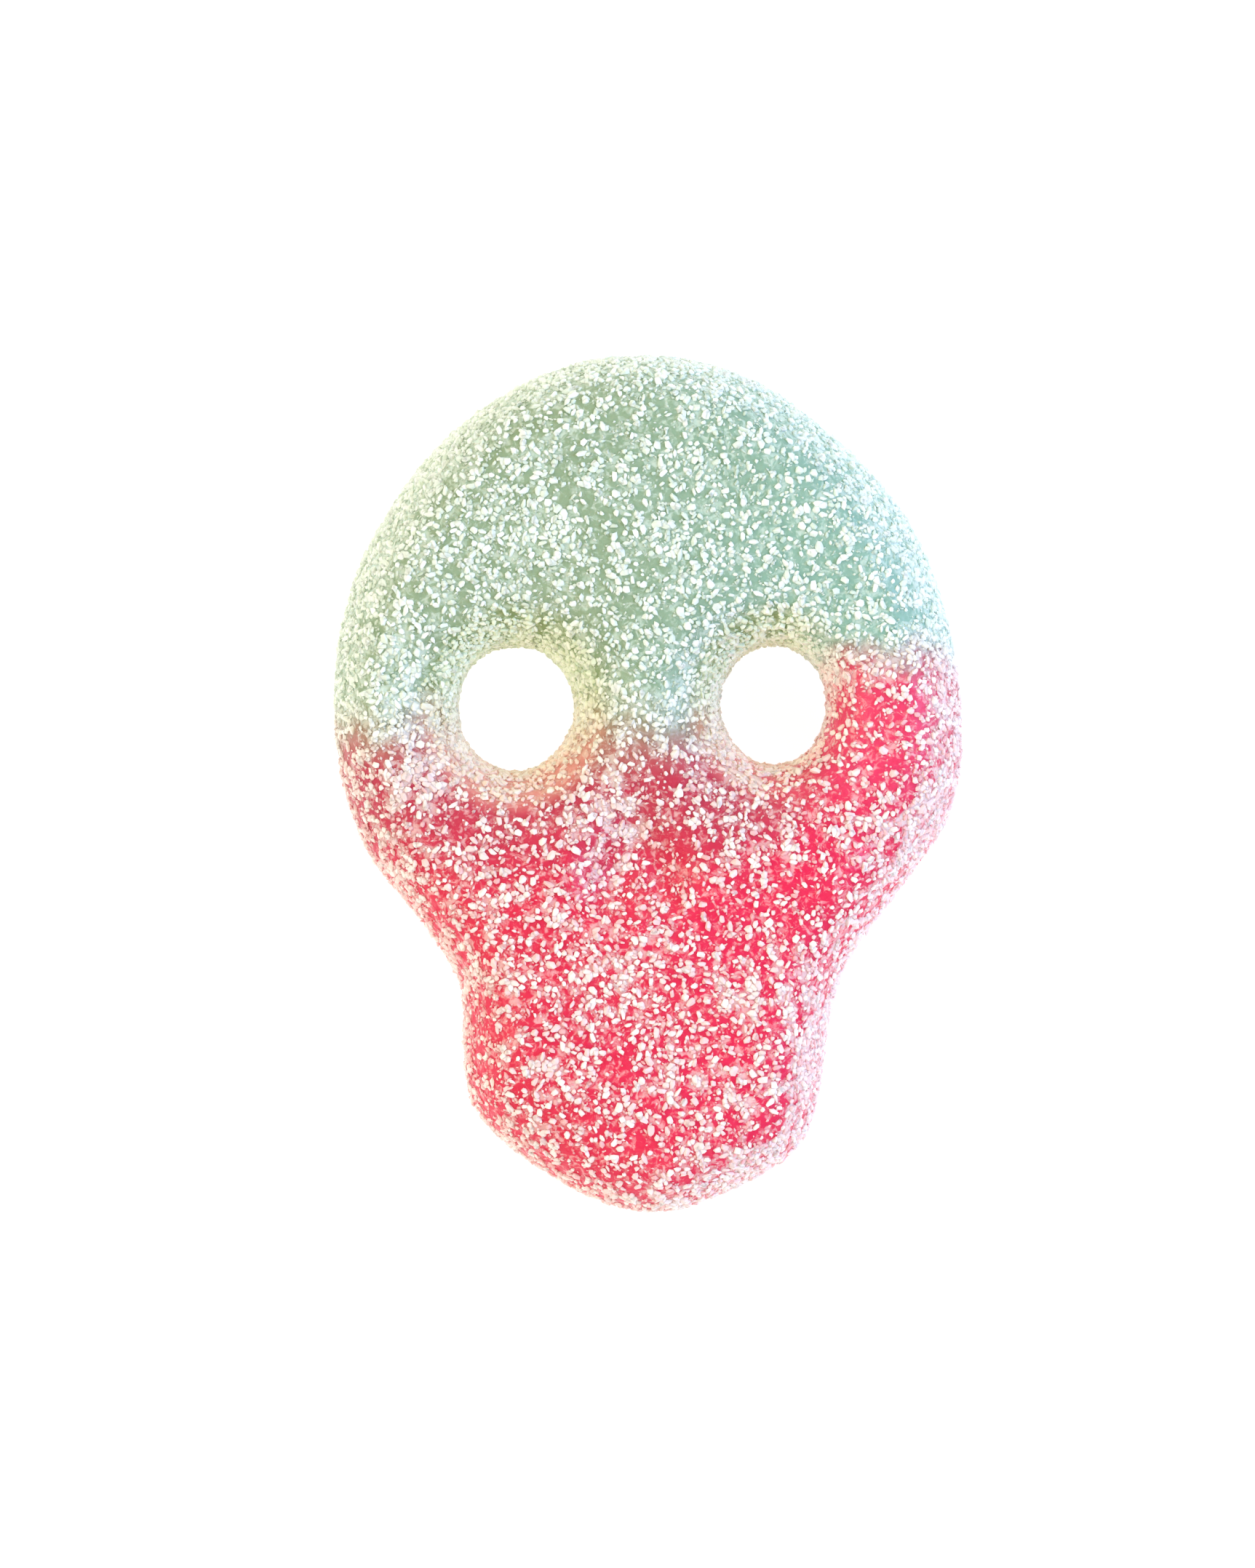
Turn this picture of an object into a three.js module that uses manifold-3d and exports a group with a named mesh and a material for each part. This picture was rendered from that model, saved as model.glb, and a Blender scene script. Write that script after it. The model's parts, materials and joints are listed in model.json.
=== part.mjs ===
// A gummy skull: one piece of soft gel, cast in a mould, tossed in sugar and lying on its flat back.
// Millimetres. +X points to the right of the face, +Y to the top of the skull and +Z out of the face.
// The origin is under the middle of the skull, on the surface that it lies on.

import * as THREE from 'three';
import { mergeVertices } from 'three/addons/utils/BufferGeometryUtils.js';
import { MeshSurfaceSampler } from 'three/addons/math/MeshSurfaceSampler.js';
import Module from 'manifold-3d';

const wasm = await Module();
wasm.setup();

// The outline: 45 from crown to chin and 33 across the cheekbones, by the places where its bend changes,
// against the clock
const LANDMARKS = {
  crown: [-0.2, 22.5],
  leftCrown: [-5.7, 21.35],
  leftForehead: [-10.5, 18.2],
  leftTemple: [-13.5, 14.4],
  leftBrow: [-15.44, 10.58],
  leftCheekbone: [-16.51, 3.9],
  leftCheek: [-14.94, -3.12],
  leftCheekEnd: [-11.9, -7.2],
  leftNeck: [-9.85, -10.4],
  leftJaw: [-9.69, -13],
  leftJawEnd: [-9.4, -16.4],
  leftJawCorner: [-7.98, -18.35],
  chinLeft: [-3.56, -21.4],
  chin: [0.25, -22.5],
  chinRight: [4.05, -21.4],
  rightJawCorner: [7.95, -19.05],
  rightJawEnd: [8.85, -16.9],
  rightJaw: [9.45, -12.9],
  rightNeck: [10.3, -9.6],
  rightCheekEnd: [12.7, -6.17],
  rightCheek: [15.72, -1.9],
  rightCheekbone: [16.53, 2.8],
  rightBrow: [15.13, 10.58],
  rightTemple: [12.9, 14.9],
  rightForehead: [9.7, 18.2],
  rightCrown: [5.35, 21.25],
};

// The edge, from the back upwards
const BACK_LIP = 0.5;            // how far the flat back stays inside the outline
const BELLY = 1.2;               // height at which the skull is widest
const SHOULDER_WIDTH = 3.4;      // how far in from the outline the face levels out
const SHOULDER_POWER = 2.15;     // 2 is a round shoulder, more is a squarer one

// The face between the shoulders, which domes up to its highest place
const THICKNESS = 8.9;
const DOME_TOP = [0.4, 9];
const DOME_FALL_ACROSS = 0.0045; // mm lost for each mm², sideways
const DOME_FALL_ALONG = 0.0018;  // mm lost for each mm², towards crown and chin
const CAST_UNEVENNESS = 0.1;     // slow rise and fall, as no casting is quite regular

// Soft hollows in the face: where, how deep, and how far they reach from side to side and up and down
const HOLLOW_SOFTNESS = 2.2;     // more is a narrower hollow for the same reach
const SOCKET_BOWLS = [
  { at: [-7.3, 3.9], depth: 3, reach: [7.7, 7.4] },
  { at: [6.6, 4.1], depth: 2.6, reach: [7.5, 7.2] },
];
const CHEEK_HOLLOWS = [
  { at: [-14.2, -2.4], depth: 0.3, reach: [3.2, 4.2] },
  { at: [13.6, -2.6], depth: 0.35, reach: [3.2, 4.2] },
];
const MOUTH = { at: [0.6, -12.9], depth: 0.3, reach: [7.5, 1.6] };

// The nose, an upside-down heart: a hollow on each side and one above, where they meet
const NOSE = [
  { at: [-2, -4.8], depth: 1.5, reach: [1.8, 2.3] },
  { at: [0.9, -4.7], depth: 1.5, reach: [1.8, 2.3] },
  { at: [-0.6, -3], depth: 1.2, reach: [1.8, 2.9] },
];

// Eye holes, which run right through and end in a rounded lip on the face
const EYES = [
  { at: [-6.92, 3.96], radius: [3.02, 3.25], lean: [0.3, 0.15], turn: 0.12 },
  { at: [6.57, 4.13], radius: [2.76, 3.12], lean: [-0.3, 0.15], turn: -0.1 },
];
// How much wider than its throat a hole is: at each height near the back, and at each depth below the face
const EYE_WIDENING = [
  { height: -1, wider: 0.35 }, { height: 0, wider: 0.3 }, { height: 0.25, wider: 0.1 },
  { height: 0.8, wider: 0 }, { height: 2.6, wider: 0.08 },
  { depth: 2.3, wider: 0.25 }, { depth: 1.6, wider: 0.45 }, { depth: 1, wider: 0.8 },
  { depth: 0.5, wider: 1.3 }, { depth: 0.15, wider: 1.95 }, { depth: -0.4, wider: 2.8 },
];
const EYE_PIN_TOP = 12;
const EYE_WOBBLE = 0.011;        // share of its radius by which a throat is out of round
const EYE_SIDES = 36;

// The sugar coat: its largest crystals, which stand out from the finer grains between them
const CRYSTAL_COUNT = 260;
const CRYSTAL_SIZE = [1, 1.5];
const CRYSTAL_SPACING = 1.85;
const CRYSTAL_SUNK = 0.22;      // share of a crystal's size that its middle lies below the surface
const CRYSTAL_FLOOR = 0.75;     // lowest middle of a crystal, so that none reaches below the back
const EYE_CLEARANCE = 0.85;     // how far crystals keep from a hole's throat

// Mesh fineness
const SEGMENTS = 96;
const EDGE_STEPS = 7;
const FACE_STEPS = 12;

// Gel colours, which flow into each other across the eyes
const UPPER_COLOUR = '#7fa487';
const LOWER_COLOUR = '#dd4a5f';
const COLOUR_LINE = 2.6;         // height of their border in the middle of the face
const COLOUR_TILT = 0.12;        // how much the border rises for each mm to the right
const COLOUR_BLEND = 1.2;        // half the width over which they mix

// Random numbers from a seed (a linear congruential generator)
let seed = 4711;
function random() {
  seed = (seed * 1664525 + 1013904223) % 4294967296;
  return seed / 4294967296;
}
const between = (low, high) => low + (high - low) * random();

// The outline: a smooth closed curve through its landmarks
const outlineCurve = new THREE.CatmullRomCurve3(
  Object.values(LANDMARKS).map(([x, y]) => new THREE.Vector3(x, y, 0)),
  true,
);
const outline = outlineCurve.getSpacedPoints(SEGMENTS).slice(0, SEGMENTS);
const centre = new THREE.Vector3(-0.6, -2.8, 0);

// How far over the shoulder a point lies: 0 on the outline and 1 where the face levels out
const side = new THREE.Line3();
const nearest = new THREE.Vector3();
function inward(point) {
  const flat = new THREE.Vector3(point.x, point.y, 0);
  const distances = outline.map((corner, i) => {
    side.set(corner, outline[(i + 1) % SEGMENTS]);
    return side.closestPointToPoint(flat, true, nearest).distanceTo(flat);
  });
  return Math.min(Math.min(...distances) / SHOULDER_WIDTH, 1);
}

// A soft hollow: deepest at its middle and nearly level with the face at its reach
function hollow(x, y, { at, depth, reach }) {
  const r = Math.hypot((x - at[0]) / reach[0], (y - at[1]) / reach[1]);
  return depth * Math.exp(-HOLLOW_SOFTNESS * r * r);
}

// Two slow waves that cross, about 20 and 8 mm long
function unevenness(x, y) {
  const long = Math.sin(0.31 * x + 0.7) * Math.cos(0.27 * y - 0.4);
  const short = Math.sin(0.63 * y + 0.45 * x);
  return CAST_UNEVENNESS * (long + 0.7 * short);
}

// Height of the face over a point, without the eye holes
function faceHeight(point) {
  const { x, y } = point;
  const dome = THICKNESS
    - DOME_FALL_ACROSS * (x - DOME_TOP[0]) ** 2
    - DOME_FALL_ALONG * (y - DOME_TOP[1]) ** 2;
  const hollows = [...SOCKET_BOWLS, ...CHEEK_HOLLOWS, ...NOSE, MOUTH];
  const level = hollows.reduce((height, one) => height - hollow(x, y, one), dome + unevenness(x, y));
  const rise = (1 - (1 - inward(point)) ** SHOULDER_POWER) ** (1 / SHOULDER_POWER);
  return BELLY + (level - BELLY) * rise;
}

// A closed mesh as a solid: its shared corners are merged and faces that shrank to nothing are left out
function toSolid(geometry) {
  geometry.deleteAttribute('normal');
  geometry.deleteAttribute('uv');
  const merged = mergeVertices(geometry, 1e-5);
  const index = merged.index.array;
  const faces = [];
  for (let i = 0; i < index.length; i += 3) {
    const [a, b, c] = index.slice(i, i + 3);
    if (a !== b && b !== c && c !== a) faces.push(a, b, c);
  }
  return new wasm.Manifold(new wasm.Mesh({
    numProp: 3,
    vertProperties: merged.attributes.position.array,
    triVerts: new Uint32Array(faces),
  }));
}

function toGeometry(solid) {
  const mesh = solid.getMesh();
  const geometry = new THREE.BufferGeometry();
  geometry.setAttribute('position', new THREE.BufferAttribute(mesh.vertProperties, 3));
  geometry.setIndex(new THREE.BufferAttribute(mesh.triVerts, 1));
  return geometry;
}

// The edge from just below the back up to the face: how far inside the outline each level lies, and its
// height where the face doesn't set it. The slope of the lowest step meets z = 0 at BACK_LIP.
function edgeLevels() {
  const levels = [
    { inset: BACK_LIP * 1.75, z: -BELLY * 0.3 },
    { inset: BACK_LIP * 0.25, z: BELLY * 0.3 },
    { inset: 0, z: BELLY },
  ];
  for (let step = 1; step <= EDGE_STEPS; step += 1) {
    const angle = (step / EDGE_STEPS) * Math.PI / 2;
    levels.push({ inset: SHOULDER_WIDTH * (1 - Math.cos(angle) ** (2 / SHOULDER_POWER)) });
  }
  return levels;
}

// The rings of the body, from the middle of the underside round the edge to the middle of the face
function bodyRings() {
  const levels = edgeLevels();
  const face = Array.from({ length: FACE_STEPS }, (_, step) => (
    { inset: SHOULDER_WIDTH, shrink: 1 - (step + 1) / FACE_STEPS }
  ));
  return [{ ...levels[0], shrink: 0 }, ...levels, ...face];
}

// A turned disc whose rings are drawn out to the outline and raised to the face
function makeBody() {
  const rings = bodyRings();
  const lastRing = rings.length - 1;
  const profile = rings.map((ring, i) => new THREE.Vector2(i % lastRing === 0 ? 0 : 1, i));
  const geometry = new THREE.LatheGeometry(profile, SEGMENTS);
  const position = geometry.attributes.position;
  const point = new THREE.Vector3();
  for (let i = 0; i < position.count; i += 1) {
    const ring = rings[i % rings.length];
    const spoke = Math.floor(i / rings.length) % SEGMENTS;
    const next = outline[(spoke + 1) % SEGMENTS];
    const last = outline[(spoke + SEGMENTS - 1) % SEGMENTS];
    const outward = new THREE.Vector3(next.y - last.y, last.x - next.x, 0).normalize();
    const toRim = outline[spoke].clone().sub(centre);
    const inset = 1 - ring.inset / toRim.dot(outward);
    point.copy(centre).addScaledVector(toRim, inset * (ring.shrink ?? 1));
    position.setXYZ(i, point.x, point.y, ring.z ?? faceHeight(point));
  }
  return toSolid(geometry);
}

// What lies below the back, so that the skull is cut off flat at z = 0
function makeUnderside() {
  const depth = 4;
  const slab = new THREE.BoxGeometry(60, 60, depth);
  slab.translate(0, 0, -depth / 2);
  return toSolid(slab);
}

// What an eye hole takes away: a turned pin, stretched to an oval that shifts a little as it widens. Its
// upper levels follow the face around it.
function makeEyePin({ at, radius, lean, turn }) {
  const levels = [
    { height: EYE_WIDENING[0].height, wider: -1 },
    ...EYE_WIDENING,
    { height: EYE_PIN_TOP, wider: -1 },
  ];
  const profile = levels.map(({ wider }, level) => new THREE.Vector2(1 + wider, level));
  const geometry = new THREE.LatheGeometry(profile, EYE_SIDES);
  const position = geometry.attributes.position;
  for (let i = 0; i < position.count; i += 1) {
    const [y, level, x] = position.array.slice(3 * i, 3 * i + 3);
    const { height, depth } = levels[level];
    const r = Math.hypot(x, y);
    const angle = Math.atan2(y, x);
    const flare = Math.max(r - 1, 0);
    const uneven = 1 + EYE_WOBBLE * (Math.sin(3 * angle + 9 * turn) + Math.sin(5 * angle + 20 * turn));
    const across = Math.min(r, 1) * radius[0] * uneven + flare;
    const along = Math.min(r, 1) * radius[1] * uneven + flare;
    const place = new THREE.Vector3(
      at[0] + across * Math.cos(angle + turn) + lean[0] * flare,
      at[1] + along * Math.sin(angle + turn) + lean[1] * flare,
    );
    place.z = depth === undefined ? height : faceHeight(place) - depth;
    position.setXYZ(i, place.x, place.y, place.z);
  }
  return toSolid(geometry);
}

// One crystal of sugar: an uneven double pyramid, turned any way
function makeCrystal(place, size) {
  const stone = new THREE.OctahedronGeometry(size / 2);
  stone.scale(1, between(0.75, 1), between(0.65, 0.9));
  stone.rotateX(between(0, Math.PI)).rotateY(between(0, Math.PI)).rotateZ(between(0, Math.PI));
  stone.translate(place.x, place.y, place.z);
  return toSolid(stone);
}

function nearEye(point, margin) {
  return EYES.some(({ at, radius }) => Math.hypot(
    (point.x - at[0]) / (radius[0] + margin),
    (point.y - at[1]) / (radius[1] + margin),
  ) < 1);
}

// Whether a crystal leaves the sweet as wide and as tall as its outline
const outlineBox = new THREE.Box2().setFromPoints(outline);
function insideBox(place, size) {
  return outlineBox.clone().expandByScalar(-size / 2).containsPoint(place);
}

// Crystals spread evenly over every side but the back, each clear of the others and of the eye holes
function placeCrystals(body) {
  const surface = new THREE.Mesh(toGeometry(body).toNonIndexed());
  const sampler = new MeshSurfaceSampler(surface).setRandomGenerator(random).build();
  const placed = [];
  const point = new THREE.Vector3();
  const normal = new THREE.Vector3();
  for (let tries = 0; placed.length < CRYSTAL_COUNT && tries < CRYSTAL_COUNT * 60; tries += 1) {
    sampler.sample(point, normal);
    const size = between(...CRYSTAL_SIZE);
    const place = point.clone().addScaledVector(normal, -CRYSTAL_SUNK * size);
    const clear = placed.every((other) => other.place.distanceTo(place) > CRYSTAL_SPACING)
      && !nearEye(place, EYE_CLEARANCE);
    if (clear && place.z > CRYSTAL_FLOOR && insideBox(place, size)) placed.push({ place, size });
  }
  return placed;
}

// The whole skull, moved so that it lies on z = 0 with its middle over the origin
function makeSkull() {
  const flatBacked = makeBody().subtract(makeUnderside());
  const cut = EYES.reduce((solid, eye) => solid.subtract(makeEyePin(eye)), flatBacked);
  const crystals = placeCrystals(cut).map(({ place, size }) => makeCrystal(place, size));
  const geometry = toGeometry(crystals.reduce((solid, crystal) => solid.add(crystal), cut));
  geometry.computeBoundingBox();
  const { min, max } = geometry.boundingBox;
  geometry.translate(-(min.x + max.x) / 2, -(min.y + max.y) / 2, -min.z);
  return geometry;
}

// Green above and red below, mixed along a slanting border
function paint(geometry) {
  const position = geometry.attributes.position;
  const upper = new THREE.Color(UPPER_COLOUR);
  const lower = new THREE.Color(LOWER_COLOUR);
  const colours = new Float32Array(position.count * 3);
  const mixed = new THREE.Color();
  for (let i = 0; i < position.count; i += 1) {
    const line = COLOUR_LINE + COLOUR_TILT * position.getX(i);
    const share = THREE.MathUtils.smoothstep(position.getY(i), line - COLOUR_BLEND, line + COLOUR_BLEND);
    mixed.lerpColors(lower, upper, share).toArray(colours, 3 * i);
  }
  geometry.setAttribute('color', new THREE.BufferAttribute(colours, 3));
}

const geometry = makeSkull();
paint(geometry);
geometry.computeVertexNormals();

const skull = new THREE.Mesh(
  geometry,
  new THREE.MeshStandardMaterial({ vertexColors: true, roughness: 0.6, metalness: 0 }),
);
skull.name = 'gummy_skull';

const group = new THREE.Group();
group.add(skull);

export default group;
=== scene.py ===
# %% [markdown]
# # A sugared gummy skull
#
# The real sweet is one soft casting of two gels, tossed in sugar while its skin is still sticky.
# The lesson makes it in that order: first the gel, then the sugar in three sizes, then the light.

# %% The frame
import json
import math

import bmesh
import bpy
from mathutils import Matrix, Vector, noise

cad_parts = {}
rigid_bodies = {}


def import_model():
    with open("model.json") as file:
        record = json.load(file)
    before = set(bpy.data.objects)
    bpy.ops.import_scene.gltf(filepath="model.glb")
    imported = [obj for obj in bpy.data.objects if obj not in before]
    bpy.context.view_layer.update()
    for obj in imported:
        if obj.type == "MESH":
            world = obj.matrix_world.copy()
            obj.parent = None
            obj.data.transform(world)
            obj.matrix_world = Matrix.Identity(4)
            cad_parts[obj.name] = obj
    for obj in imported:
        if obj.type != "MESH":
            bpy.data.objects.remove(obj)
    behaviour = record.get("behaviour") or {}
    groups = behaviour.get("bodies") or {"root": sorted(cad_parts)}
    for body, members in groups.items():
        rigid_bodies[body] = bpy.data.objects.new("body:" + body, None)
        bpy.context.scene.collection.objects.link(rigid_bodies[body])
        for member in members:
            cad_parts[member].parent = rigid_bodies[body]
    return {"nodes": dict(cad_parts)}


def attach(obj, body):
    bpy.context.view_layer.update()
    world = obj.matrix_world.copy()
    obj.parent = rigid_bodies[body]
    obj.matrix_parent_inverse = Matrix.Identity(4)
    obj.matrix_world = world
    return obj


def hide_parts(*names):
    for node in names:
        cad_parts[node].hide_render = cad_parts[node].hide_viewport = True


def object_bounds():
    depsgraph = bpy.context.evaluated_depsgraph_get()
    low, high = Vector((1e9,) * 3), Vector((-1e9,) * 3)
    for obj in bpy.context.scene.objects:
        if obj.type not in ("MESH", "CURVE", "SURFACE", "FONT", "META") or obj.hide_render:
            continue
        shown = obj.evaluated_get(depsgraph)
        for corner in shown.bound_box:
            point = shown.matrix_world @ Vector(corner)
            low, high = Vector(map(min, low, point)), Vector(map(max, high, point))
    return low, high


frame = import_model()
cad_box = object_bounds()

MM = 0.001
low, high = cad_box
print("the sweet measures", [round((b - a) / MM, 2) for a, b in zip(low, high)], "mm")

# %% [markdown]
# ## The camera
#
# The photo looks straight at the face, and the sweet lies on its back, so the camera hangs above it with
# the crown at the top of the picture. A long lens from half a metre keeps the outline free of perspective,
# as in the photo. The sweet is a little right of the middle there, so the camera stands a little to its left.

# %% The camera
PHOTO_TALL = 2156           # pixels
SKULL_TALL = 1182           # pixels from crown to chin
SKULL_MM = 45               # the same in mm
SKULL_RIGHT = 28            # pixels from the photo's middle to the sweet's
OUTLINE_HEIGHT = 1.2        # mm above the floor, where the sweet is widest
CAMERA_HEIGHT = 0.5         # m above the floor
SENSOR = 36                 # mm across the longer side
mm_per_pixel = SKULL_MM / SKULL_TALL

camera = bpy.data.objects.new("camera", bpy.data.cameras.new("camera"))
camera.location = (-SKULL_RIGHT * mm_per_pixel * MM, 0, CAMERA_HEIGHT)
camera.data.sensor_width = SENSOR
distance = CAMERA_HEIGHT - OUTLINE_HEIGHT * MM
camera.data.lens = SENSOR * distance / (PHOTO_TALL * mm_per_pixel * MM)
camera.data.clip_start = 10 * MM
bpy.context.scene.collection.objects.link(camera)
bpy.context.scene.camera = camera
print("the lens is", round(camera.data.lens), "mm long")

# %% [markdown]
# ## Colours and nodes
#
# Colours are picked as sRGB hex values, as any colour picker shows them, and shaders work with linear ones.
# One helper adds a node, whatever its kind: it sets the node's own settings, fills its inputs with numbers,
# and links the inputs that are given another node's output.


# %% Helpers for colours and nodes
def linear(hex_colour):
    """An sRGB hex colour as linear red, green, blue and alpha."""
    channels = [int(hex_colour[i:i + 2], 16) / 255 for i in (1, 3, 5)]
    return [c / 12.92 if c <= 0.04045 else ((c + 0.055) / 1.055) ** 2.4 for c in channels] + [1]


def node(tree, kind, inputs=None, **settings):
    """Adds a node with its settings. An input, by name or number, takes a value or another node's output."""
    made = tree.nodes.new(kind)
    for name, value in settings.items():
        setattr(made, name, value)
    for name, value in (inputs or {}).items():
        if isinstance(value, bpy.types.NodeSocket):
            tree.links.new(value, made.inputs[name])
        else:
            made.inputs[name].default_value = value
    return made


def new_material(name):
    """A material with an empty node tree."""
    material = bpy.data.materials.new(name)
    material.use_nodes = True
    material.node_tree.nodes.clear()
    return material


print("pure white is", linear("#ffffff"))

# %% [markdown]
# ## The gel body
#
# The gel is the sweet without its sugar. It could be modelled anew, but the frame's solid already has its
# shape, so the gel is a copy of that with the crystals smoothed away and a thin skin taken off to make room
# for the coat. The solid's mesh is loose triangles of uneven size, which don't smooth well. So its copy is
# merged and remeshed into even small squares first, and these are relaxed until no crystal is left. The back
# stays flat, a little above the floor, because the sweet lies on the grains under it.


# %% A copy of the solid, in even squares
def new_piece(name, mesh):
    """An object for a mesh, in the scene."""
    piece = bpy.data.objects.new(name, mesh)
    bpy.context.scene.collection.objects.link(piece)
    return piece


def apply_modifiers(piece):
    """Puts the result of a piece's modifiers into its mesh."""
    graph = bpy.context.evaluated_depsgraph_get()
    mesh = bpy.data.meshes.new_from_object(piece.evaluated_get(graph), depsgraph=graph)
    piece.modifiers.clear()
    piece.data = mesh


SQUARE = 0.24 * MM          # side of a square
SAME = 0.0001 * MM          # corners nearer than this are one

shape = bmesh.new()
shape.from_mesh(frame["nodes"]["gummy_skull"].data)
bmesh.ops.remove_doubles(shape, verts=shape.verts, dist=SAME)
gel_mesh = bpy.data.meshes.new("gel")
shape.to_mesh(gel_mesh)
shape.free()
gel = new_piece("gel", gel_mesh)

remesh = gel.modifiers.new("even squares", "REMESH")
remesh.mode = "VOXEL"
remesh.voxel_size = SQUARE
apply_modifiers(gel)
print("the gel has", len(gel.data.polygons), "faces")

# %% Smoothed, thinned and flat underneath
SKIN = 0.12 * MM            # taken off everywhere, because the sugar stands on the gel
BACK = 0.25 * MM            # height of the gel's back above the floor
SMOOTHINGS = 22             # enough to level the largest crystals

shape = bmesh.new()
shape.from_mesh(gel.data)
for _ in range(SMOOTHINGS):
    bmesh.ops.smooth_vert(
        shape, verts=shape.verts, factor=0.5, use_axis_x=True, use_axis_y=True, use_axis_z=True
    )
shape.normal_update()
for vertex in shape.verts:
    vertex.co -= vertex.normal * SKIN
for vertex in shape.verts:
    vertex.co.z = max(vertex.co.z, BACK)
shape.normal_update()
shape.to_mesh(gel.data)
shape.free()
gel.data.shade_smooth()
heights = [v.co.z / MM for v in gel.data.vertices]
print("the gel lies between", round(min(heights), 2), "and", round(max(heights), 2), "mm")

# %% [markdown]
# ## Where the sugar sticks
#
# The coat isn't even. On the face the gel shows between clumps of larger grains, and here and there a patch
# is heaped or rubbed thin. The heaped patches left of the left eye are a painted highlight, the crescent that
# the window lights on the slope there. The rims and the walls of the eye holes have more grains, of every
# size, and the sides and the back have fewer of the large ones. Rims that face right on the jaw have more
# still, partly real sugar and partly a painted highlight of the window's light. The back, which lay on a
# tray, has a third of the sugar.
# Such a coat could be painted by hand, but each vertex's place and slope give it in a way that can be
# repeated. Three numbers are kept there: how thick the coat is, which the gel's own finish follows, and how
# many large and how many fine grains are strewn.

# %% Helpers for places and slopes
EYES = [((-6.96, 4.0), (3.05, 3.3)), ((6.61, 4.17), (2.8, 3.15))]  # middle and radii in mm


def within(value, least, most):
    """The value itself, or the nearer limit where it lies past one."""
    return min(max(value, least), most)


def smoothstep(edge0, edge1, x):
    """0 before the first edge, 1 after the second, and a soft rise between them."""
    t = within((x - edge0) / (edge1 - edge0), 0, 1)
    return t * t * (3 - 2 * t)


def from_eye(x, y):
    """How far a point is from the nearer eye's middle, where 1 is the rim of its throat."""
    return min(Vector(((x - a) / ra, (y - b) / rb)).length for (a, b), (ra, rb) in EYES)


print("a point between the eyes is", round(from_eye(0, 4), 2), "throats away from the nearer one")

# %% How thick the coat is
BROW = 5                    # mm above the sweet's middle, where the face has fully become brow
CLOUD = 3.5                 # mm, the size of clouds of thicker and thinner coat
CLUMP = 0.76                # mm, the size of clumps of grains

# Where they start and where they are full, by how far the gel's normal points up
RIMS = (0.95, 0.4)
SIDES = (0.3, -0.1)
BACK_FROM = -0.5            # how far it points up at most on the back
WALLS = (1.6, 1.15)         # the same for the walls of the eye holes, in throats from an eye's middle

# Each pair is a share on the jaw, and how much it changes up to the brow
COVERED = (0.3, 0.17)       # of the gel that grains cover
CLOUDED = (0.65, -0.45)     # by which clouds change that
CLUMPED = (0.8, -0.35)      # by which clumps change it
HEAPED = (0.3, 0.09)        # of sugar added on a rim
# Partly real sugar and partly a painted highlight: the extra sugar on rims that face right, on the jaw,
# stands in for the window's light.
HEAPED_AND_LIT_RIGHT = (0.5, -0.56)  # by which a rim that faces right has more of it

HEAPED_UP = 0.1             # by which a rim that faces the crown has more of it
ON_WALL = 0.45              # of sugar added on the walls of the eye holes
LARGE_ON_RIM = 0.4          # of the sugar added on a rim that is large grains
LARGE_OFF_SIDE = 0.45       # of the large grains that a heaped side lacks
FINE_ON_EDGE = 0.35         # of the sugar added on rims and walls that is fine grains
WALL_AS_RIM = 0.5           # of a wall's sugar that counts as heaped on a rim
UNDERNEATH = 0.35           # of the coat that the back has
LIMITS = (0.25, 1.2)        # of the coat and of the fine grains
LARGE_LIMITS = (0.2, 1.1)   # of the large grains

# Patches that are heaped, or rubbed thin where the share is below 0: x, y and reach in mm, and a share
PATCHES = [
    # The first four are a painted highlight: heaped sugar that whitens the crescent the window lights left of
    # the left eye.
    (-12.8, 6.8, 1.6, 0.4), (-12.6, 3.8, 1.8, 0.5), (-12.2, 0.8, 2, 0.45), (-11.4, -1.4, 1.8, 0.35),
    (2.1, 5.3, 1.5, 0.2), (0, 3.4, 1.6, 0.2), (-1.9, -4.9, 0.9, 0.5), (-5.5, -11, 2.2, 0.2),
    (8.4, -12.3, 2, 0.25), (2.6, -19.9, 2.5, 0.2), (14.4, -0.8, 2, 0.2), (-10.3, 15.2, 4, 0.1),
    (11.8, 6.5, 2, 0.3), (11.4, 0.7, 3, -0.2), (4.2, -3.5, 3, -0.2), (-1.5, 17.4, 3.5, -0.15),
    (6.5, 14.4, 3, -0.15), (-1.2, 10.6, 3, -0.1), (-0.8, -18.4, 2.5, -0.2), (10.2, 3, 1.6, -0.85),
    (8.6, 1.2, 1.6, -0.4), (0, -4.6, 1.5, -0.15), (-9.6, -14, 3, -0.15),
]


def on_face(place, x, y, brow):
    """The share of the face that grains cover, with its clouds, clumps and patches."""
    clouds = noise.noise(place / (CLOUD * MM) + Vector((3, 1, 4))) * (CLOUDED[0] + CLOUDED[1] * brow)
    clumps = smoothstep(-0.3, 0.3, noise.noise(place / (CLUMP * MM) + Vector((1, 5, 9)))) - 0.5
    share = COVERED[0] + COVERED[1] * brow + clouds + (CLUMPED[0] + CLUMPED[1] * brow) * clumps
    for a, b, across, more in PATCHES:
        share += more * math.exp(-((x - a) ** 2 + (y - b) ** 2) / across ** 2)
    return share


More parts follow.
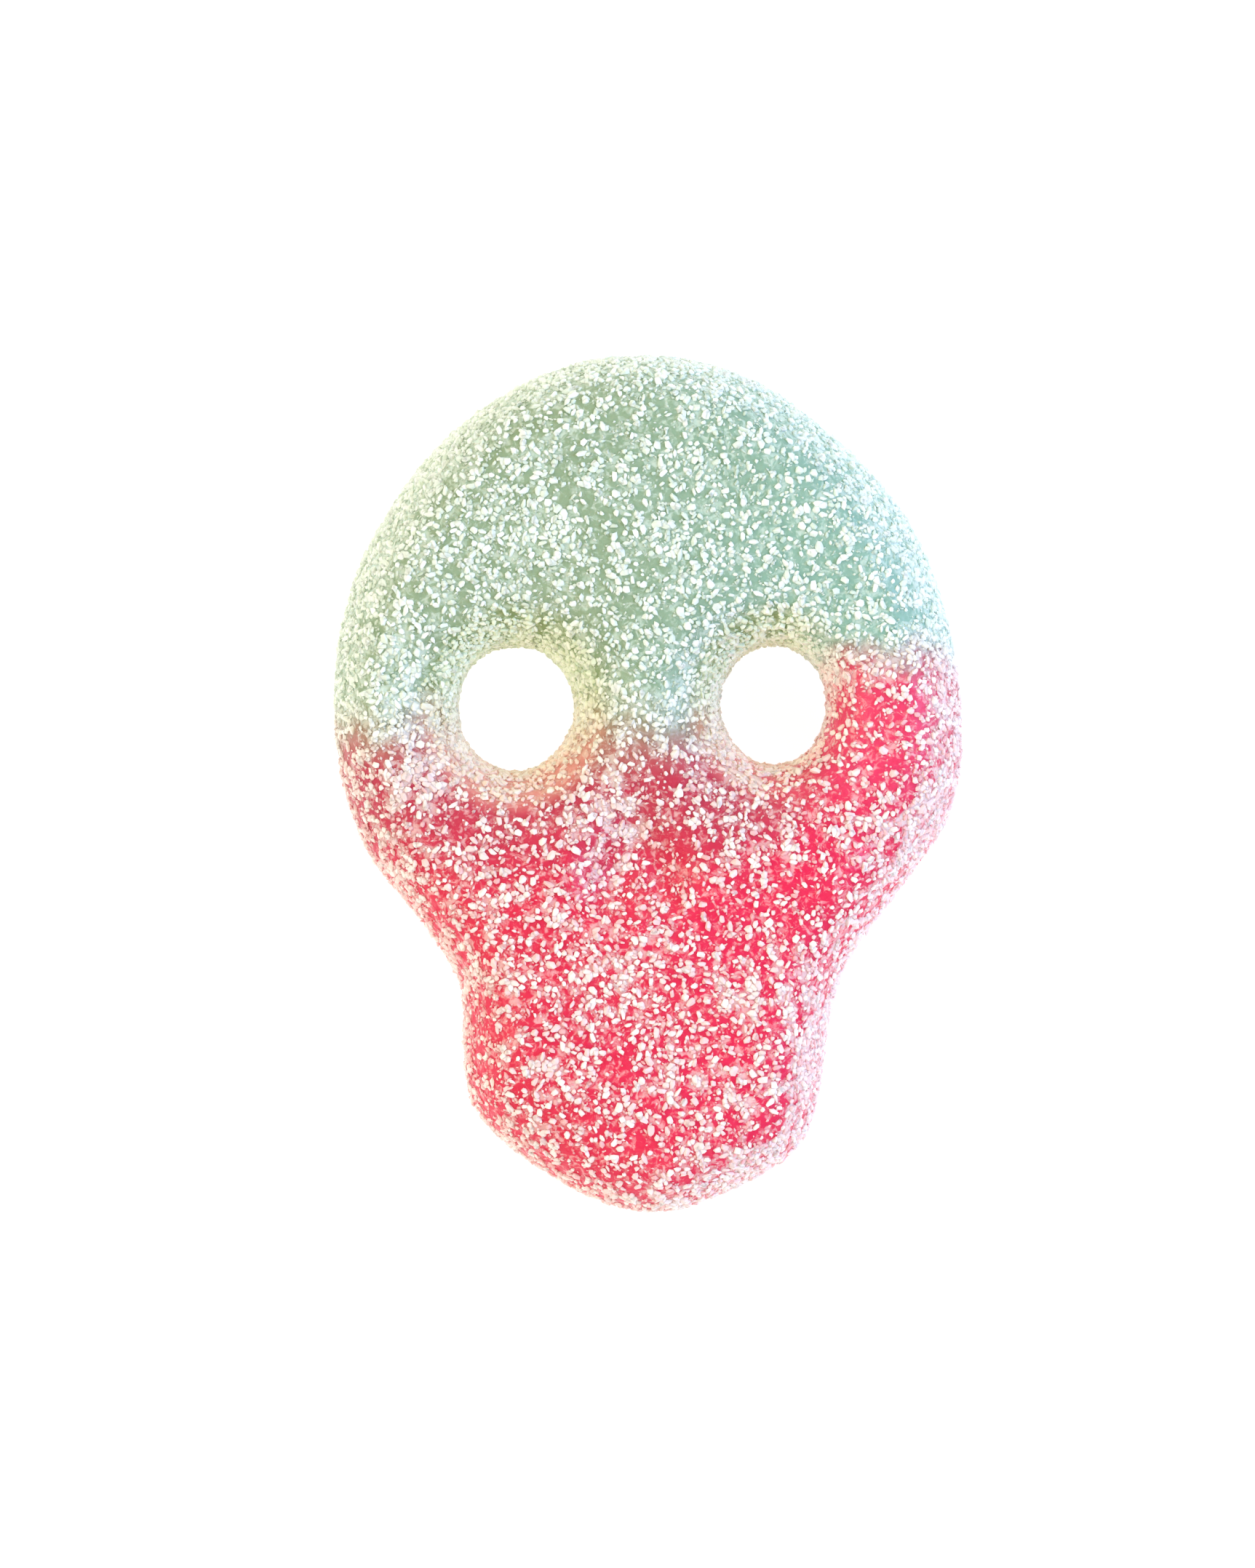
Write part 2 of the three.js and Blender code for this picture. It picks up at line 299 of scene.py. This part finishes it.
def coat(place, normal):
    """How thick the coat is, from 0 for bare gel to 1, and how many large and fine grains it has."""
    x, y, _ = place / MM
    brow = smoothstep(0, BROW, y)
    share = on_face(place, x, y, brow)
    # More sugar on rims facing right: partly a painted highlight of the window's light.
    to_right = HEAPED_AND_LIT_RIGHT[0] + HEAPED_AND_LIT_RIGHT[1] * brow
    heaped = HEAPED[0] + HEAPED[1] * brow + to_right * normal.x + HEAPED_UP * normal.y
    rim = smoothstep(*RIMS, normal.z) * heaped
    side = smoothstep(*SIDES, normal.z)
    wall = smoothstep(*WALLS, from_eye(x, y)) * ON_WALL
    edge = max(rim, WALL_AS_RIM * wall)
    thick = within(share + edge, *LIMITS)
    large = within(share + wall + LARGE_ON_RIM * rim * (1 - side), *LARGE_LIMITS)
    large = large * (1 - LARGE_OFF_SIDE * rim * side)
    fine = within(share + FINE_ON_EDGE * edge, *LIMITS)
    under = UNDERNEATH if normal.z < BACK_FROM else 1
    return thick * under, large * under, fine * under


coats = [coat(v.co, v.normal) for v in gel.data.vertices]
for number, name in enumerate(("coat", "large grains", "fine grains")):
    values = [shares[number] for shares in coats]
    gel.data.attributes.new(name, "FLOAT", "POINT").data.foreach_set("value", values)
    print(name, "from", round(min(values), 2), "to", round(max(values), 2))

# %% [markdown]
# ## The grains
#
# Granulated sugar is sieved crystals of 0.1 to 0.5 mm. Particles or instances would be quick to strew, but
# they aren't part of a mesh. Geometry Nodes can strew points on the gel, lay a crystal on each, turn and
# size it by chance from a seed, and make all of them one mesh. The largest come first, and the smaller ones
# keep clear of them, so that they fill the gaps as they do on the real sweet. Each grain keeps a number of
# its own that says how wet it is, because wet grains show more of the gel's colour.

# %% A handful of crystals of each kind
noise.seed_set(1)           # otherwise noise vectors differ from run to run
SHAPES = 6                  # different crystals in a handful
UNEVEN = 0.26               # of a crystal's width, by which its corners are moved at most
FLAT = (1, 0.85, 0.75)      # its length, width and height


def handful(name, create, seed):
    """A collection of uneven crystals, each about 1 metre long, which the strewing scales down."""
    stones = bpy.data.collections.new(name)
    for number in range(SHAPES):
        stone = bmesh.new()
        create(stone)
        for corner in stone.verts:
            corner.co += UNEVEN * noise.noise_vector(corner.co * 3 + Vector((seed, number * 7, 2)))
        bmesh.ops.scale(stone, vec=FLAT, verts=stone.verts)
        mesh = bpy.data.meshes.new(name)
        stone.to_mesh(mesh)
        stone.free()
        stones.objects.link(bpy.data.objects.new(name, mesh))
    print(name, "holds", SHAPES, "crystals of", len(mesh.polygons), "faces")
    return stones


def worn(stone):
    """A crystal with its corners rubbed off: 20 triangles."""
    bmesh.ops.create_icosphere(stone, subdivisions=1, radius=0.5)


def splinter(stone):
    """A broken crystal, a double pyramid: 8 triangles."""
    bmesh.ops.create_uvsphere(stone, u_segments=4, v_segments=2, radius=0.5)


coarse_crystals = handful("coarse_crystals", worn, 1)
medium_crystals = handful("medium_crystals", worn, 4)
fine_crystals = handful("fine_crystals", splinter, 9)


# %% Which points are kept
MARGIN = Vector((0.5, 0.5, 0.58))  # of the largest grain's size, from its middle to the solid's box
GAP = 0.3                   # of the smallest grain's size, from its middle to a larger grain


def inside_box(tree, points, largest):
    """The points without those whose crystals could stand out of the solid's box."""
    position = node(tree, "GeometryNodeInputPosition")
    apart = node(tree, "ShaderNodeVectorMath", {
        0: position.outputs[0], 1: (low + high) / 2,
    }, operation="SUBTRACT")
    reach = node(tree, "ShaderNodeVectorMath", {0: apart.outputs[0]}, operation="ABSOLUTE")
    half_box = (high - low) / 2 - MARGIN * largest * MM
    over = node(tree, "ShaderNodeVectorMath", {0: reach.outputs[0], 1: half_box}, operation="SUBTRACT")
    axes = node(tree, "ShaderNodeSeparateXYZ", {0: over.outputs[0]})
    wide = node(tree, "ShaderNodeMath", {0: axes.outputs[0], 1: axes.outputs[1]}, operation="MAXIMUM")
    most = node(tree, "ShaderNodeMath", {0: wide.outputs[0], 1: axes.outputs[2]}, operation="MAXIMUM")
    outside = node(tree, "FunctionNodeCompare", {0: most.outputs[0], 1: 0}, operation="GREATER_THAN")
    kept = node(tree, "GeometryNodeDeleteGeometry", {"Geometry": points, "Selection": outside.outputs[0]})
    return kept.outputs["Geometry"]


def clear_of(tree, points, other, smallest):
    """The points without those that lie in or against the crystals of another piece."""
    larger = node(tree, "GeometryNodeObjectInfo", {"Object": other})
    position = node(tree, "GeometryNodeInputPosition")
    near = node(tree, "GeometryNodeProximity", {
        0: larger.outputs["Geometry"], "Sample Position": position.outputs[0],
    }, target_element="FACES")
    touching = node(tree, "FunctionNodeCompare", {
        0: near.outputs["Distance"], 1: smallest * GAP * MM,
    }, operation="LESS_THAN")
    kept = node(tree, "GeometryNodeDeleteGeometry", {"Geometry": points, "Selection": touching.outputs[0]})
    return kept.outputs["Geometry"]


print("grains' middles stay", [round(share, 2) for share in MARGIN], "of their size inside the box")

# %% A crystal on each point
TILT = 0.5                  # radians either way, by which a crystal leans
TURN = 6.283                # radians, a full turn about what it stands on
SHORTEST = (0.75, 0.65, 0.7)  # of its size, as its length, width and height
LONGEST = (1.5, 1.15, 1.15)


def crystals_on(tree, points, upright, stones, sizes, seed):
    """A crystal on each point, turned, sized and stretched by chance."""
    lean = node(tree, "FunctionNodeRandomValue", {
        0: (-TILT, -TILT, 0), 1: (TILT, TILT, TURN), "Seed": seed + 2,
    }, data_type="FLOAT_VECTOR")
    spun = node(tree, "FunctionNodeEulerToRotation", {0: lean.outputs[0]})
    laid = node(tree, "FunctionNodeRotateRotation", {0: upright, 1: spun.outputs[0]}, rotation_space="LOCAL")
    size = node(tree, "FunctionNodeRandomValue", {2: sizes[0] * MM, 3: sizes[1] * MM, "Seed": seed + 1})
    stretch = node(tree, "FunctionNodeRandomValue", {
        0: SHORTEST, 1: LONGEST, "Seed": seed + 3,
    }, data_type="FLOAT_VECTOR")
    scale = node(tree, "ShaderNodeVectorMath", {
        0: stretch.outputs[0], "Scale": size.outputs[1],
    }, operation="SCALE")
    crystals = node(tree, "GeometryNodeCollectionInfo", {
        "Collection": stones, "Separate Children": True, "Reset Children": True,
    })
    strewn = node(tree, "GeometryNodeInstanceOnPoints", {
        "Points": points,
        "Instance": crystals.outputs[0],
        "Pick Instance": True,
        "Rotation": laid.outputs[0],
        "Scale": scale.outputs[0],
    })
    return strewn.outputs[0]


print("a crystal leans by up to", round(math.degrees(TILT)), "degrees")

# %% Strewing crystals over the gel
LIFT = 0.02 * MM            # of a crystal's middle above the gel


def strew(name, stones, sizes, per_square_mm, follows, wet, keep_clear_of, seed):
    """A mesh of crystals on the gel. Sizes are in mm, and wet is the least and most of the gel's colour."""
    piece = new_piece(name, bpy.data.meshes.new(name))
    tree = bpy.data.node_groups.new(name, "GeometryNodeTree")
    tree.interface.new_socket("Geometry", in_out="OUTPUT", socket_type="NodeSocketGeometry")
    surface = node(tree, "GeometryNodeObjectInfo", {"Object": gel})
    covered = node(tree, "GeometryNodeInputNamedAttribute", {"Name": follows}, data_type="FLOAT")
    density = node(tree, "ShaderNodeMath", {
        0: covered.outputs[0], 1: per_square_mm / MM ** 2,
    }, operation="MULTIPLY")
    spots = node(tree, "GeometryNodeDistributePointsOnFaces", {
        "Mesh": surface.outputs["Geometry"], "Density": density.outputs[0], "Seed": seed,
    }, distribute_method="RANDOM")
    lift = node(tree, "ShaderNodeVectorMath", {0: spots.outputs["Normal"], "Scale": LIFT}, operation="SCALE")
    lifted = node(tree, "GeometryNodeSetPosition", {
        "Geometry": spots.outputs["Points"], "Offset": lift.outputs[0],
    })
    points = inside_box(tree, lifted.outputs["Geometry"], sizes[1])
    for other in keep_clear_of:
        points = clear_of(tree, points, other, sizes[0])
    crystals = crystals_on(tree, points, spots.outputs["Rotation"], stones, sizes, seed)
    wetness = node(tree, "FunctionNodeRandomValue", {2: wet[0], 3: wet[1], "Seed": seed + 4})
    marked = node(tree, "GeometryNodeStoreNamedAttribute", {
        "Geometry": crystals, "Name": "wet", "Value": wetness.outputs[1],
    }, data_type="FLOAT", domain="INSTANCE")
    joined = node(tree, "GeometryNodeRealizeInstances", {"Geometry": marked.outputs[0]})
    node(tree, "NodeGroupOutput", {"Geometry": joined.outputs[0]})
    piece.modifiers.new("strewn crystals", "NODES").node_group = tree
    apply_modifiers(piece)
    print(name, "has", sum(len(p.vertices) - 2 for p in piece.data.polygons), "triangles")
    return piece


coarse = strew(
    "coarse_sugar", coarse_crystals, sizes=(0.32, 0.52), per_square_mm=6.8, follows="large grains",
    wet=(0, 0.3), keep_clear_of=[], seed=11,
)
medium = strew(
    "medium_sugar", medium_crystals, sizes=(0.23, 0.38), per_square_mm=12.4, follows="large grains",
    wet=(0, 0.55), keep_clear_of=[coarse], seed=23,
)
fine = strew(
    "fine_sugar", fine_crystals, sizes=(0.13, 0.22), per_square_mm=21, follows="fine grains",
    wet=(0.15, 0.75), keep_clear_of=[coarse, medium], seed=37,
)
for stones in (coarse_crystals, medium_crystals, fine_crystals):
    for stone in list(stones.objects):
        bpy.data.objects.remove(stone)
    bpy.data.collections.remove(stones)

# %% [markdown]
# ## The gel's two colours
#
# The mould is filled with green gel at the crown and red gel at the chin, and they run into each other
# before they set. The border could be cut into the mesh, but it is soft, so it is a smooth step between two
# colours that follows a line across the face: it lies under the eyes' middles on the left, climbs past the
# right eye, and slow noise makes it waver. The green is greyer on the left and mintier on the right, and the
# red pinker on the right. That is painted light, warm from the lamp on the left and cool from the window on
# the right. The red is also duller next to the border, where some green has run into it, and paler on the
# right cheek. Near the eye holes the gel is thinner, so their walls have their own pair of colours: painted
# warm light that has crossed the thin gel, with painted shade between the grains on the green walls. The
# sugar on the walls is tinted with the same painted light. Sugar lets some of the colour below it through,
# so both materials share these nodes.

# %% The colours
# The left and right gels are painted light: greyer and warmer on the lamp's side, mintier and pinker on the
# window's.
GREEN_WARM_LIT_LEFT = linear("#95ab89")
GREEN_COOL_LIT_RIGHT = linear("#90b8a5")
RED_WARM_LIT_LEFT = linear("#e2224a")
RED_COOL_LIT_RIGHT = linear("#e81b51")
RED_AT_BORDER = linear("#c5324e")
RED_ON_CHEEK = linear("#ea3766")
# The walls' colours are painted light: warm light that has crossed the thin gel, and on the green walls
# painted shade between the grains.
WALL_GREEN_PAINTED_LIGHT = linear("#8a9f6a")
WALL_RED_PAINTED_LIGHT_LEFT = linear("#ea968c")
WALL_RED_PAINTED_LIGHT_RIGHT = linear("#ea5068")
SUGAR_ON_GREEN = linear("#f5fff4")
SUGAR_ON_RED = linear("#fff4ed")
WALL_SUGAR_PAINTED_LIGHT_ON_GREEN = linear("#f6ffe4")
WALL_SUGAR_PAINTED_LIGHT_ON_RED = linear("#fff1e0")
print("the red gel is", [round(channel, 3) for channel in RED_COOL_LIT_RIGHT[:3]], "in linear values")


# %% Helpers for colours that change from place to place
def in_mm(tree):
    """Object coordinates in millimetres."""
    place = node(tree, "ShaderNodeTexCoord").outputs["Object"]
    return node(tree, "ShaderNodeMapping", {"Vector": place, "Scale": (1 / MM,) * 3}).outputs[0]


def across(tree, place, start, end, on_left, on_right):
    """A number that changes softly between two places, given as mm right of the sweet's middle."""
    x = node(tree, "ShaderNodeSeparateXYZ", {0: place}).outputs[0]
    return node(tree, "ShaderNodeMapRange", {
        "Value": x, "From Min": start, "From Max": end, "To Min": on_left, "To Max": on_right,
    }, interpolation_type="SMOOTHSTEP").outputs[0]


def run_together(tree, value, start, end, first, second):
    """The first colour, which runs into the second while a value goes from start to end."""
    share = node(tree, "ShaderNodeMapRange", {
        "Value": value, "From Min": start, "From Max": end,
    }, interpolation_type="SMOOTHSTEP").outputs[0]
    return node(tree, "ShaderNodeMix", {0: share, 6: first, 7: second}, data_type="RGBA").outputs[2]


print("object coordinates are multiplied by", round(1 / MM))

# %% Where the gel is green or red
BORDER = 2.4                # mm above the sweet's middle, from its left side to its nose
BORDER_STEP = 4.2           # mm that it climbs on the right
CLIMB = (5, 10.5)           # mm right of the middle, between which it climbs
WAVE = 2.857                # mm, the length of its waves
WAVER = 3.2                 # mm between the lowest and the highest that they could be
BLEND = 2.6                 # mm over which half of the change happens, on the left and in the middle
BLEND_RIGHT = 1.2           # the same on the right
SHARPENING = (4, 9.5)       # mm right of the middle, between which the change gets sharper
WALL_BLEND = 2.6            # the same round the eye holes
WALL_RAISED = 0.8           # mm that the border lies higher round the left eye hole
WALL_RAISED_RIGHT = -0.8    # the same round the right one, where it lies lower
LOWERING = (5, 8.5)         # mm right of the middle, between which it comes down
THINNER_TO = 1.75           # throats away from an eye's middle, up to where the gel is thinner
THINNEST_TO = 1.4           # up to where it is thinnest
RIGHT_OF_EYES = 0.15        # how much of this shows right of the right eye
FADING = (7, 9.5)           # mm right of the middle, between which it fades


def over_border(tree, place):
    """How many mm a place lies above the border between the two gels."""
    y = node(tree, "ShaderNodeSeparateXYZ", {0: place}).outputs[1]
    line = across(tree, place, *CLIMB, BORDER, BORDER + BORDER_STEP)
    waves = node(tree, "ShaderNodeTexNoise", {"Vector": place, "Scale": 1 / WAVE, "Detail": 3}).outputs[0]
    middle = node(tree, "ShaderNodeMath", {0: line, 1: WAVER / 2}, operation="SUBTRACT").outputs[0]
    wavy = node(tree, "ShaderNodeMath", {0: waves, 1: WAVER, 2: middle}, operation="MULTIPLY_ADD").outputs[0]
    return node(tree, "ShaderNodeMath", {0: y, 1: wavy}, operation="SUBTRACT").outputs[0]


def red_or_green(tree, place, red, green):
    """One of two colours on the face, by the side of the border that a place is on."""
    blend = across(tree, place, *SHARPENING, BLEND, BLEND_RIGHT)
    over = node(tree, "ShaderNodeMath", {
        0: over_border(tree, place), 1: blend,
    }, operation="DIVIDE").outputs[0]
    return run_together(tree, over, -1, 1, red, green)


def red_or_green_wall(tree, place, red, green):
    """The same for the walls of the eye holes."""
    raised = across(tree, place, *LOWERING, WALL_RAISED, WALL_RAISED_RIGHT)
    over = node(tree, "ShaderNodeMath", {
        0: over_border(tree, place), 1: raised,
    }, operation="SUBTRACT").outputs[0]
    return run_together(tree, over, -WALL_BLEND, WALL_BLEND, red, green)


def painted_light_near_eyes(tree, place):
    """1 on the walls of the eye holes, where their painted light shows, falling to 0 some millimetres away
    from them.
    """
    shares = []
    for (a, b), (ra, rb) in EYES:
        scaled = node(tree, "ShaderNodeMapping", {
            "Vector": place, "Location": (-a / ra, -b / rb, 0), "Scale": (1 / ra, 1 / rb, 0),
        }).outputs[0]
        away = node(tree, "ShaderNodeVectorMath", {0: scaled}, operation="LENGTH").outputs["Value"]
        shares.append(node(tree, "ShaderNodeMapRange", {
            "Value": away, "From Min": THINNER_TO, "From Max": THINNEST_TO,
        }, interpolation_type="SMOOTHSTEP").outputs[0])
    nearer = node(tree, "ShaderNodeMath", {0: shares[0], 1: shares[1]}, operation="MAXIMUM").outputs[0]
    faded = across(tree, place, *FADING, 1, RIGHT_OF_EYES)
    return node(tree, "ShaderNodeMath", {0: nearer, 1: faded}, operation="MULTIPLY").outputs[0]


print("the border rises from", BORDER, "to", BORDER + BORDER_STEP, "mm")

# %% The gel's and the sugar's colour
# Painted light: between these places the warm lamp light painted on the gel gives way to cool window light.
GREEN_LIGHT_CHANGE = (-5, 12)     # mm right of the middle, between which the green turns mintier
RED_LIGHT_CHANGE = (-6, 6)        # the same for the red
WALL_RED_LIGHT_CHANGE = (1, 8)    # the same for the red of the walls
DULLING = (-8.5, -3)        # mm above the border, between which the red gets duller
CHEEK = (11.5, 3.4, 0)      # mm, the middle of the right cheek
PALING = (6, 2.5)           # mm away from it, between which the red gets paler


def gel_colour(tree, place):
    """The colour of the gel at a place."""
    x = node(tree, "ShaderNodeSeparateXYZ", {0: place}).outputs[0]
    # Painted light: warm on the left, cool on the right.
    green = run_together(tree, x, *GREEN_LIGHT_CHANGE, GREEN_WARM_LIT_LEFT, GREEN_COOL_LIT_RIGHT)
    red = run_together(tree, x, *RED_LIGHT_CHANGE, RED_WARM_LIT_LEFT, RED_COOL_LIT_RIGHT)
    red = run_together(tree, over_border(tree, place), *DULLING, red, RED_AT_BORDER)
    level = node(tree, "ShaderNodeVectorMath", {0: place, 1: (1, 1, 0)}, operation="MULTIPLY").outputs[0]
    away = node(tree, "ShaderNodeVectorMath", {0: level, 1: CHEEK}, operation="DISTANCE").outputs["Value"]
    red = run_together(tree, away, *PALING, red, RED_ON_CHEEK)
    face = red_or_green(tree, place, red, green)
    # The walls get painted warm light, and the green ones painted shade between the grains.
    wall_red_painted_light = run_together(tree, x, *WALL_RED_LIGHT_CHANGE, WALL_RED_PAINTED_LIGHT_LEFT, WALL_RED_PAINTED_LIGHT_RIGHT)
    wall = red_or_green_wall(tree, place, wall_red_painted_light, WALL_GREEN_PAINTED_LIGHT)
    share = painted_light_near_eyes(tree, place)
    return node(tree, "ShaderNodeMix", {0: share, 6: face, 7: wall}, data_type="RGBA").outputs[2]


def sugar_colour(tree, place):
    """The colour of dry sugar at a place, which light from the gel below tints a little, creamed by painted
    warm light on the walls of the eye holes.
    """
    face = red_or_green(tree, place, SUGAR_ON_RED, SUGAR_ON_GREEN)
    # Painted warm light creams the sugar on the walls.
    wall = red_or_green_wall(tree, place, WALL_SUGAR_PAINTED_LIGHT_ON_RED, WALL_SUGAR_PAINTED_LIGHT_ON_GREEN)
    share = painted_light_near_eyes(tree, place)
    return node(tree, "ShaderNodeMix", {0: share, 6: face, 7: wall}, data_type="RGBA").outputs[2]


print("the pale cheek is", 2 * PALING[0], "mm across")

# %% [markdown]
# ## The gel's finish
#
# Fruit gel of pectin or gelatine is clear inside, but the moist skin that it is cast with is dulled by sugar
# that has half dissolved on it. It scatters light within a millimetre or two, which keeps the gaps between
# the grains bright, and its skin is glossy in some blotches and dull in others. The half dissolved sugar
# lies on it as pale strands about as wide as a grain, more of them where the coat is thick, and where it is
# thickest as a thin film. A texture of each could be painted, but noise of the right size has no seams.

# %% Cast fruit gel with a sugared skin
BLOTCH = 0.6                # mm across, of glossier and duller skin
STRAND = 0.4                # mm between strands of half melted sugar
GRIT = 0.22                 # mm between the dents that the finest dust leaves
DENT = 0.05 * MM            # their depth
GLOSSY = 0.35               # roughness of the glossiest skin
DULL = 0.6                  # roughness of the dullest
STRANDED = 0.45             # of the sugar's colour that a strand has
FILMED = 0.3                # of it that the film has

cast_gel = new_material("cast_fruit_gel")
tree = cast_gel.node_tree
place = in_mm(tree)
clear_colour = gel_colour(tree, place)
blotches = node(tree, "ShaderNodeTexNoise", {
    "Vector": place, "Scale": 1 / BLOTCH, "Detail": 4, "Roughness": 0.6,
})
gloss = node(tree, "ShaderNodeMapRange", {
    "Value": blotches.outputs[0], "From Min": 0.4, "From Max": 0.65, "To Min": GLOSSY, "To Max": DULL,
}, interpolation_type="SMOOTHSTEP")
melted = node(tree, "ShaderNodeTexNoise", {
    "Vector": place, "Scale": 1 / STRAND, "Detail": 3, "Roughness": 0.6, "Distortion": 0.8,
})
thick = node(tree, "ShaderNodeAttribute", attribute_name="coat").outputs["Fac"]
crust = node(tree, "ShaderNodeMath", {0: thick, 1: 0.25, 2: melted.outputs[0]}, operation="MULTIPLY_ADD")
strands = node(tree, "ShaderNodeMapRange", {
    "Value": crust.outputs[0], "From Min": 0.54, "From Max": 0.78, "To Max": STRANDED,
}, interpolation_type="SMOOTHSTEP")
film = node(tree, "ShaderNodeMapRange", {
    "Value": thick, "From Min": 0.75, "From Max": 1.15, "To Max": FILMED,
}, interpolation_type="SMOOTHSTEP")
share = node(tree, "ShaderNodeMath", {0: strands.outputs[0], 1: film.outputs[0]}, operation="ADD")
skin_colour = node(tree, "ShaderNodeMix", {
    0: share.outputs[0], 6: clear_colour, 7: sugar_colour(tree, place),
}, data_type="RGBA").outputs[2]
grit = node(tree, "ShaderNodeTexVoronoi", {"Vector": place, "Scale": 1 / GRIT})
bump = node(tree, "ShaderNodeBump", {"Height": grit.outputs["Distance"], "Strength": 0.5, "Distance": DENT})
skin = node(tree, "ShaderNodeBsdfPrincipled", {
    "Base Color": skin_colour,
    "Roughness": gloss.outputs[0],
    "IOR": 1.45,
    "Subsurface Weight": 0.6,
    "Subsurface Radius": (1, 0.6, 0.5),
    "Subsurface Scale": 0.8 * MM,
    "Normal": bump.outputs[0],
})
node(tree, "ShaderNodeOutputMaterial", {"Surface": skin.outputs[0]})
gel.data.materials.clear()
gel.data.materials.append(cast_gel)
print(cast_gel.name, "has", len(tree.nodes), "nodes")

# %% [markdown]
# ## The sugar's finish
#
# Granulated sugar is crystallized from syrup and sieved. A crystal of it is clear, but a coat of them looks
# white, because their faces throw most of the light back. The ones that are wet or thin show more of the gel
# below. Glass would be truer for one crystal, but thousands would take long to render and come out dark. So
# each grain mixes white with the gel's colour by its own number. Light enters it and comes out again close
# by, which takes the hardness off its shadows.

# %% Granulated sugar
sugar = new_material("granulated_sugar")
tree = sugar.node_tree
place = in_mm(tree)
below = gel_colour(tree, place)
wet = node(tree, "ShaderNodeAttribute", attribute_name="wet").outputs["Fac"]
crystal_colour = node(tree, "ShaderNodeMix", {
    0: wet, 6: sugar_colour(tree, place), 7: below,
}, data_type="RGBA").outputs[2]
facets = node(tree, "ShaderNodeBsdfPrincipled", {
    "Base Color": crystal_colour,
    "Roughness": 0.4,
    "IOR": 1.54,
    "Subsurface Weight": 0.5,
    "Subsurface Radius": (1, 1, 1),
    "Subsurface Scale": 0.15 * MM,
})
node(tree, "ShaderNodeOutputMaterial", {"Surface": facets.outputs[0]})
for grains in (coarse, medium, fine):
    grains.data.materials.clear()
    grains.data.materials.append(sugar)
print(sugar.name, "has", len(tree.nodes), "nodes")

# %% [markdown]
# ## What each piece is part of
#
# The sweet has no joints, so all of it moves with the one body. The four pieces together stand for the
# solid.

# %% Pieces on the one body
for piece, finish in ((gel, "sugared_gel"), (coarse, "sugar"), (medium, "sugar"), (fine, "sugar")):
    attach(piece, "root")
    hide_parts("gummy_skull")

# %% [markdown]
# ## The floor and the light
#
# Behind the sweet and through its eyes the photo is blank white, as on a light table. So the floor is a
# plain white sheet that glows enough to leave no shadow. The light on the face is soft and comes from all
# round: a cool panel on the right, as from a window, a weaker warm one on the left, as from a lamp, two more
# beyond the crown and the chin, which whiten the rims there, and the plain light of the room.

# %% The floor
SHEET = 1.5                 # m from its middle to its edge

sheet = bmesh.new()
bmesh.ops.create_grid(sheet, x_segments=1, y_segments=1, size=SHEET)
floor_mesh = bpy.data.meshes.new("floor")
sheet.to_mesh(floor_mesh)
sheet.free()
floor = new_piece("floor", floor_mesh)
paper = new_material("white_paper")
tree = paper.node_tree
matt = node(tree, "ShaderNodeBsdfPrincipled", {
    "Base Color": linear("#a0a0a0"),
    "Roughness": 0.9,
    "Emission Color": linear("#ffffff"),
    "Emission Strength": 0.87,
})
node(tree, "ShaderNodeOutputMaterial", {"Surface": matt.outputs[0]})
floor.data.materials.append(paper)
print("the floor is", floor.dimensions.x, "m wide")


# %% The light
PANEL = 0.3                 # m, the side of a lamp


def panel(name, place, watts, hex_colour):
    """A square lamp that faces the sweet."""
    lamp = bpy.data.lights.new(name, "AREA")
    lamp.size = PANEL
    lamp.energy = watts
    lamp.color = linear(hex_colour)[:3]
    made = bpy.data.objects.new(name, lamp)
    made.location = place
    made.rotation_euler = (-Vector(place)).to_track_quat("-Z", "Y").to_euler()
    bpy.context.scene.collection.objects.link(made)


panel("window", (0.47, 0.06, 0.37), 3.1, "#afcaff")
panel("lamp", (-0.47, 0, 0.37), 1.6, "#fff4e6")
panel("beyond the crown", (0, 0.45, 0.4), 1, "#fff2c8")
panel("beyond the chin", (0, -0.45, 0.4), 1, "#fff6dc")

world = bpy.data.worlds.new("room")
world.use_nodes = True
world.node_tree.nodes.clear()
air = node(world.node_tree, "ShaderNodeBackground", {"Color": linear("#fffcf2"), "Strength": 0.435})
node(world.node_tree, "ShaderNodeOutputWorld", {"Surface": air.outputs[0]})
bpy.context.scene.world = world
bpy.context.scene.view_settings.view_transform = "Standard"
